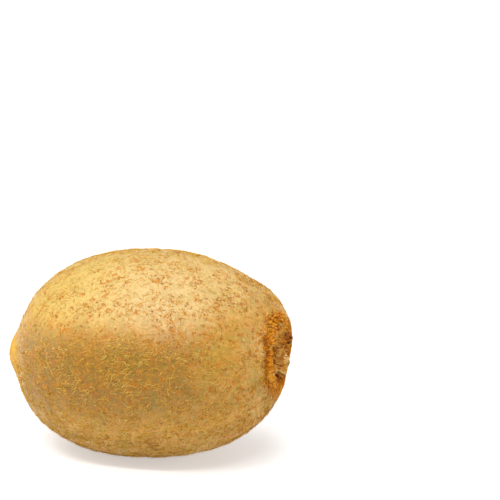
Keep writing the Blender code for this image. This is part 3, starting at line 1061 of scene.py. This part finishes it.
# %% Sepals
sepal_sizes = ((0.0044, 0.0048), (0.0048, 0.0040), (0.0041, 0.0046), (0.0037, 0.0044), (0.0050, 0.0052))
sepal_curls = (0.0006, 0.0003, 0.0006, 0.0009, -0.0005)
first_sepal_angle = math.radians(24)
sepal_thickness, overlap_step = 0.00022, 0.00008
sepal_start, sepal_clearance = 0.0024, 0.00045
root_share, root_rise = 0.25, 0.0009
root_width_share, tip_rounding = 0.60, 0.16
tear_reach, skew_reach = 0.0005, 0.0004
crumple_height, crease_height, least_rise = 0.0005, 0.00025, 0.0003
edge_curl, vein_height, vein_turns = 0.0006, 0.00005, 9.0
pale_one = 4


def sepal_mesh(number):
    """One dried sepal: share runs along it from its root, and side across it from -1 to 1."""
    length, width = sepal_sizes[number]
    curl = sepal_curls[number]
    angle = first_sepal_angle + math.tau * number / len(sepal_sizes)
    outward = Vector((math.cos(angle), math.sin(angle)))
    sideways = Vector((-math.sin(angle), math.cos(angle)))
    bm = bmesh.new()
    bmesh.ops.create_grid(bm, x_segments=22, y_segments=18, size=1.0)
    for vertex in bm.verts:
        share, side = 0.5 * (vertex.co.x + 1.0), vertex.co.y
        fullness = (1.0 - root_width_share) * math.sin(math.pi * share**0.8)
        half_width = 0.5 * width * (root_width_share + fullness)
        tear = tear_reach * noise.noise(Vector((4.0 * side, angle, 0.0))) * share
        skew = skew_reach * noise.noise(Vector((angle, 2.0 * share, 5.0))) * share
        reach = sepal_start + length * share * (1.0 - tip_rounding * side * side) + tear
        spot = outward * reach + sideways * (half_width * side + skew)
        clear = skin_height(stem_place, spot.x, spot.y) + sepal_clearance
        crumple = crumple_height * noise.noise(Vector((2.5 * side, 3.0 * share, angle)))
        crease = crease_height * noise.noise(Vector((6.0 * side, 4.0 * share, angle + 9.0)))
        edge = edge_curl * abs(side) ** 3 * share
        veins = vein_height * math.cos(vein_turns * side)
        lift = overlap_step * (2 * number % 5) + curl * share**2.5 + edge + veins
        lift += max(0.0, least_rise * share + (crumple + crease) * share)
        root = max(0.0, 1.0 - share / root_share) * (stem_floor + root_rise - clear)
        vertex.co = Vector((spot.x, spot.y, clear + lift + root))
    bmesh.ops.solidify(bm, geom=bm.faces[:], thickness=sepal_thickness)
    return at_end("blade", bm, stem_place)


dark_bm = bmesh.new()
for number in range(len(sepal_sizes)):
    blade = sepal_mesh(number)
    if number == pale_one:
        as_piece("pale_sepal", blade, pale_sepal, "dried_sepal", "dried_calyx")
    else:
        dark_bm.from_mesh(blade)
        bpy.data.meshes.remove(blade)
as_piece("dark_sepals", mesh_of("dark_sepals", dark_bm), dark_sepal, "dried_sepal", "dried_calyx")

# %% [markdown]
# ## Withered stamens and styles
#
# The stamens are bent brown threads round the plate. At the beak, the styles are the same: a small
# hard button with a star of short curled threads. A thread is a longer cone with more cuts.

# %% Threads
thread_sides, thread_stretches, thread_tip_share = 6, 6, 0.45
shrivel_share, shrivel_scale, shrivel_spread = 0.25, 5000.0, 9000.0
uneven_spacing, side_leans, uneven_radii = (-0.3, 0.3), (-0.3, 0.3), (0.7, 1.15)


def add_thread(whole, start, heading, bend, length, radius):
    """Adds one bent thread to the whole bmesh, in an end's frame."""
    bm = bmesh.new()
    bmesh.ops.create_cone(
        bm,
        cap_ends=True,
        segments=thread_sides,
        radius1=radius,
        radius2=thread_tip_share * radius,
        depth=length,
        matrix=Matrix.Translation((0.0, 0.0, 0.5 * length)),
    )
    upright = [edge for edge in bm.edges if abs(edge.verts[0].co.z - edge.verts[1].co.z) > 0.5 * length]
    bmesh.ops.subdivide_edges(bm, edges=upright, cuts=thread_stretches - 1)
    turned = heading.to_track_quat("Z", "Y").to_matrix()
    for vertex in bm.verts:
        share = vertex.co.z / length
        shrivel = noise.noise(vertex.co * shrivel_scale + start * shrivel_spread)
        vertex.co.xy *= 1.0 + shrivel_share * shrivel
        vertex.co = start + turned @ vertex.co + bend * share * share
    thread = mesh_of("thread", bm)
    whole.from_mesh(thread)
    bpy.data.meshes.remove(thread)


def ring_of_threads(bm, seed, count, floor, ring, lengths, radius, leans, side_bends, out_bends):
    """Threads round an end's axis. ring is how far out they start, and leans is how far out they lean."""
    draw = np.random.default_rng(seed)
    for number in range(count):
        angle = math.tau * (number + draw.uniform(*uneven_spacing)) / count
        outward = Vector((math.cos(angle), math.sin(angle), 0.0))
        sideways = Vector((-math.sin(angle), math.cos(angle), 0.0))
        start = outward * draw.uniform(*ring) + Vector((0.0, 0.0, floor))
        lean = outward * draw.uniform(*leans) + sideways * draw.uniform(*side_leans)
        heading = Vector((0.0, 0.0, 1.0)) + lean
        length = draw.uniform(*lengths)
        bend = length * (sideways * draw.uniform(*side_bends) + outward * draw.uniform(*out_bends))
        add_thread(bm, start, heading, bend, length, radius * draw.uniform(*uneven_radii))


# %% Stamens
stamen_bm = bmesh.new()
ring_of_threads(
    stamen_bm, seed=11, count=34, floor=stem_floor + 0.0007, ring=(0.0023, 0.0034), radius=0.00013,
    lengths=(0.0013, 0.0025), leans=(-0.3, 0.7), side_bends=(-0.5, 0.5), out_bends=(-0.4, 0.6),
)
dried_stamens = at_end("dried_stamens", stamen_bm, stem_place)
as_piece("dried_stamens", dried_stamens, thread_finish, "dried_sepal", "dried_calyx")

# %% Button and styles
button_profile = (
    (0.0000, 0.00085), (0.0003, 0.00088), (0.0006, 0.00080), (0.0009, 0.00062), (0.0010, 0.00035),
    (0.0010, 0.00005), (0.0000, 0.00005),
)
button_steps = 24

style_bm = spun(button_profile, beak_floor, button_steps)
ring_of_threads(
    style_bm, seed=5, count=26, floor=beak_floor + 0.0004, ring=(0.0003, 0.0008), radius=0.00012,
    lengths=(0.0008, 0.0014), leans=(0.5, 2.0), side_bends=(-0.5, 0.5), out_bends=(0.0, 0.4),
)
curled_styles = at_end("curled_styles", style_bm, beak_place)
as_piece("curled_styles", curled_styles, thread_finish, "dried_style", "dried_styles")
